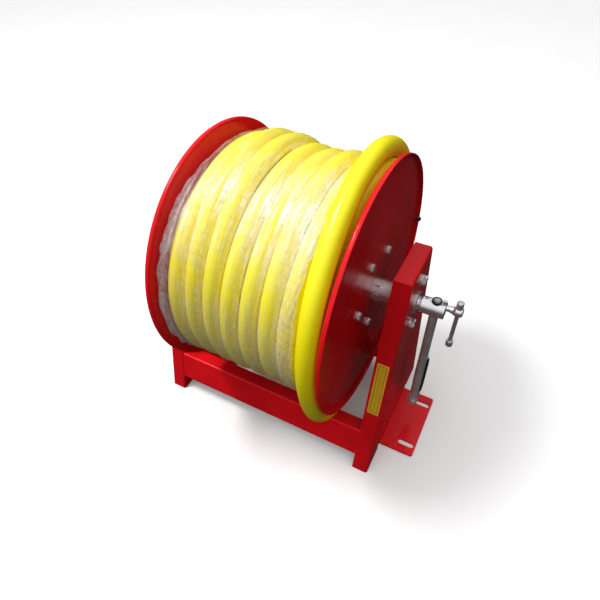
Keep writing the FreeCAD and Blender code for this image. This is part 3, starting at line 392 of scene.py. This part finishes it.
def loosened(x, radius, angle):
    """The outer layer isn't even: its turns stand up over the crossing at the top left, and lean a little."""
    from_top = (angle - math.radians(85) + math.pi) % math.tau - math.pi
    radius += 0.019 * bell(x, -0.062, 0.034) * bell(from_top, 0.0, math.radians(36))
    radius += 0.0055 * bell(x, 0.062, 0.020) * bell(from_top, 0.0, math.radians(45))
    x += 0.003 * math.sin(math.radians(135) - angle) * (1 - (x / FLANGE_X) ** 2)
    return x, radius


def hose_points():
    """Control points of the hose, from its tail in the drum to its coupling."""
    start = (-FLANGE_X, -LAYERS[0])
    points = [(*start, TAIL_Z), (*start, TAIL_Z + 0.026)]
    outer_layer = (len(LAYERS) - 1) * LAYER_TURNS
    over, over_x, over_radius = zip(*LAST_TURN)
    count = round((END_TURN - FIRST_TURN) * POINTS_PER_TURN)
    for turn in np.linspace(FIRST_TURN, END_TURN, count + 1):
        angle = START_ANGLE - math.tau * turn
        x, radius = wound(turn)
        if turn > over[0]:
            x = np.interp(turn, over, over_x)
            radius = np.interp(turn, over, over_radius)
        elif turn > outer_layer:
            x, radius = loosened(x, radius, angle)
            radius -= 0.0075 * bell(turn, 25.05, 0.13)
        if outer_layer - RISE_TURNS < turn < over[0]:
            from_low = (angle - math.radians(100) + math.pi) % math.tau - math.pi
            radius -= LEFT_DIP * bell(x, -FLANGE_X, 0.010) * bell(from_low, 0.0, math.radians(26))
        if turn < over[0]:
            x += 0.0008 * math.sin(2.3 * angle)
            radius += 0.0008 * math.sin(3.1 * angle + turn) + 0.0006 * math.sin(1.7 * angle)
        control = radius / CORNER
        points.append((float(x), float(control * math.cos(angle)), float(AXIS_Z + control * math.sin(angle))))
    points[-1] = (COUPLING_X, COUPLING_RADIUS, AXIS_Z)
    points += [(COUPLING_X, COUPLING_RADIUS, AXIS_Z - drop) for drop in (0.018, 0.036)]
    return points


def hose():
    """The hose as one smooth curve with a round section."""
    curve = bpy.data.curves.new("yellow_hose", "CURVE")
    curve.dimensions = "3D"
    curve.bevel_depth = HOSE / 2
    curve.bevel_resolution = 6
    curve.resolution_u = 4
    curve.use_fill_caps = True
    points = hose_points()
    spline = curve.splines.new("NURBS")
    spline.points.add(len(points) - 1)
    for target, point in zip(spline.points, points):
        target.co = (*point, 1)
    spline.order_u = 3
    spline.use_endpoint_u = True
    piece = bpy.data.objects.new("yellow_hose", curve)
    bpy.context.collection.objects.link(piece)
    curve.materials.append(MATERIALS["yellow_hose"])
    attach(piece, "drum")
    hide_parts("hose_coil")
    return piece


def centre_points(piece):
    """The hose's centreline as it is drawn."""
    bare = bpy.data.objects.new("bare_line", piece.data.copy())
    bare.data.bevel_depth = 0
    mesh = bpy.data.meshes.new_from_object(bare)
    line = np.array([v.co[:] for v in mesh.vertices])
    bpy.data.meshes.remove(mesh)
    bpy.data.curves.remove(bare.data)
    return line


hose_piece = hose()
line = centre_points(hose_piece)


# ---------------------------------------------------------------- stretch film

FILM_LEFT = -0.1478
FILM_RIGHT = 0.100
FILM_LIFT = 0.0009
FILM_SAG = 0.0032
FILM_AROUND = 720
FILM_ACROSS = 200
FILM_END_X = 0.1125       # turns centred beyond this lie over the film or clear of it
FILM_SPAN = 0.018         # half the width over which the film is pulled straight
LINE_PER_TURN = 80        # points on the drawn centreline to each turn
LEFT_WALL = 0.217         # radius of the film's left edge, and how much lower it is at the top
LEFT_WALL_DIP = 0.019
EDGE_RIPPLE = 0.0022


def film():
    """Film pulled round the wound turns: it spans from crest to crest and creases along the pull."""
    angles = np.linspace(0, math.tau, FILM_AROUND, endpoint=False)
    xs = np.linspace(FILM_LEFT, FILM_RIGHT, FILM_ACROSS)
    radii = np.hypot(line[:, 1], line[:, 2] - AXIS_Z)
    wrapped = (radii > LAYERS[1] + 0.007) & (line[:, 0] < FILM_END_X)
    hose_x = line[wrapped, 0]
    hose_radius = radii[wrapped]
    hose_angle = np.arctan2(line[wrapped, 2] - AXIS_Z, line[wrapped, 1])
    crest = np.zeros((FILM_AROUND, FILM_ACROSS))
    for i, angle in enumerate(angles):
        near = np.abs((hose_angle - angle + math.pi) % math.tau - math.pi) < math.tau / LINE_PER_TURN * 1.1
        offset = xs[None, :] - hose_x[near][:, None]
        reach = (HOSE / 2 + FILM_LIFT) ** 2 - offset ** 2
        height = hose_radius[near][:, None] + np.sqrt(np.maximum(reach, 0))
        height[reach <= 0] = 0
        crest[i] = height.max(axis=0)
    half = int(FILM_SPAN / (xs[1] - xs[0]))
    span = np.stack([crest[:, max(0, j - half):j + half + 1].max(axis=1) for j in range(FILM_ACROSS)], axis=1)
    kernel = np.hanning(2 * half + 3)[1:-1]
    kernel /= kernel.sum()
    padded = np.pad(span, ((0, 0), (half, half)), mode="edge")
    taut = np.stack([np.convolve(row, kernel, mode="valid") for row in padded])
    surface = np.maximum(crest, taut - FILM_SAG)
    a, x = np.meshgrid(angles, xs, indexing="ij")
    crease = np.sin(17 * a + 420 * x + 2 * np.sin(5 * a)) + 0.7 * np.sin(9 * a - 760 * x + 3 * np.sin(3 * a))
    surface += 0.00035 * np.abs(crease)
    lap = smooth(x, 0.066, 0.078) * bell(a, math.radians(150), math.radians(40))
    surface += lap * 0.0006 * np.abs(np.sin(47 * a + 300 * x) + np.sin(29 * a - 510 * x + 2 * np.sin(13 * a)))
    tucked = 1 - smooth(x, FILM_LEFT, FILM_LEFT + 0.018)
    wall = LEFT_WALL - LEFT_WALL_DIP * bell(a, math.radians(88), math.radians(30))
    surface += tucked * (wall - surface)
    ripple = np.sin(7 * a + 5 * np.sin(3 * a)) * np.sin(23 * a + 500 * x + 3 * np.sin(5 * a))
    surface += tucked * EDGE_RIPPLE * ripple
    ragged = smooth(x, FILM_RIGHT - 0.012, FILM_RIGHT)
    x = x + ragged * (0.0016 * np.sin(9 * a) + 0.0010 * np.sin(31 * a))
    y = surface * np.cos(a)
    z = AXIS_Z + surface * np.sin(a)
    vertices = np.stack([x, y, z], axis=-1).reshape(-1, 3)
    faces = []
    for i in range(FILM_AROUND):
        row = i * FILM_ACROSS
        after = (i + 1) % FILM_AROUND * FILM_ACROSS
        faces += [(row + j, row + j + 1, after + j + 1, after + j) for j in range(FILM_ACROSS - 1)]
    mesh = bpy.data.meshes.new("wrapping_film")
    mesh.from_pydata(vertices.tolist(), [], faces)
    mesh.polygons.foreach_set("use_smooth", [True] * len(mesh.polygons))
    piece = bpy.data.objects.new("wrapping_film", mesh)
    bpy.context.collection.objects.link(piece)
    mesh.materials.append(MATERIALS["clear_film"])
    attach(piece, "drum")
    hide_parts("stretch_film")


film()


# ---------------------------------------------------------------- floor, light and camera

def stage():
    """Plain pale floor, which throws no light back on the object."""
    bpy.ops.mesh.primitive_plane_add(size=30, location=(0, 0, -0.0005))
    floor = bpy.context.object
    floor.name = "studio_floor"
    floor.visible_diffuse = False
    floor.visible_glossy = False
    n = Nodes("studio_floor")
    n.set(Roughness=0.75, Specular_IOR_Level=0.1, Emission_Color=(1, 1, 1, 1), Emission_Strength=0.05)
    n.colour(n.mix(n.span(n.noise(3, 3), 0.0, 1.0), (0.88, 0.88, 0.88), (0.92, 0.92, 0.92)))
    floor.data.materials.append(n.material)


def area_light(name, place, target, size, power):
    data = bpy.data.lights.new(name, "AREA")
    data.shape = "RECTANGLE"
    data.size, data.size_y = size
    data.energy = power
    light = bpy.data.objects.new(name, data)
    light.location = place
    light.rotation_euler = (Vector(target) - Vector(place)).to_track_quat("-Z", "Y").to_euler()
    bpy.context.collection.objects.link(light)


def sky():
    """Soft world, bright overhead and dim at the sides, behind a plain white backdrop."""
    world = bpy.data.worlds.new("studio")
    bpy.context.scene.world = world
    world.use_nodes = True
    tree = world.node_tree
    background = tree.nodes["Background"]
    coordinates = tree.nodes.new("ShaderNodeTexCoord")
    facing = tree.nodes.new("ShaderNodeVectorMath")
    facing.operation = "DOT_PRODUCT"
    facing.inputs[1].default_value = (-0.25, -0.15, 0.956)
    tree.links.new(coordinates.outputs["Generated"], facing.inputs[0])
    strength = tree.nodes.new("ShaderNodeMapRange")
    strength.interpolation_type = "SMOOTHSTEP"
    for name, value in (("From Min", -0.12), ("From Max", 0.95), ("To Min", 0.03), ("To Max", 1.2)):
        strength.inputs[name].default_value = value
    tree.links.new(facing.outputs["Value"], strength.inputs["Value"])
    path = tree.nodes.new("ShaderNodeLightPath")
    seen = tree.nodes.new("ShaderNodeMath")
    seen.operation = "MAXIMUM"
    tree.links.new(strength.outputs["Result"], seen.inputs[0])
    tree.links.new(path.outputs["Is Camera Ray"], seen.inputs[1])
    tree.links.new(seen.outputs["Value"], background.inputs["Strength"])
    background.inputs["Color"].default_value = (1, 1, 1, 1)


def lights():
    """One soft key light from the upper left front, under the sky."""
    sky()
    area_light("key", (-1.4, -0.55, 3.0), (0, 0, 0.35), (0.9, 0.6), 62)


def camera():
    """Camera at the photo's viewing angle."""
    data = bpy.data.cameras.new("camera")
    data.sensor_width = 36
    data.lens = 28.985
    data.clip_end = 60
    place = bpy.data.objects.new("camera", data)
    right = Vector((0.88473, 0.46575, -0.01815))
    up = Vector((-0.31429, 0.62489, 0.71466))
    back = right.cross(up)
    turn = Matrix((right, up, back)).transposed().to_4x4()
    place.matrix_world = Matrix.Translation((0.33483, -0.60764, 0.93515)) @ turn
    bpy.context.collection.objects.link(place)
    bpy.context.scene.camera = place


stage()
lights()
camera()
bpy.context.scene.view_settings.view_transform = "Standard"
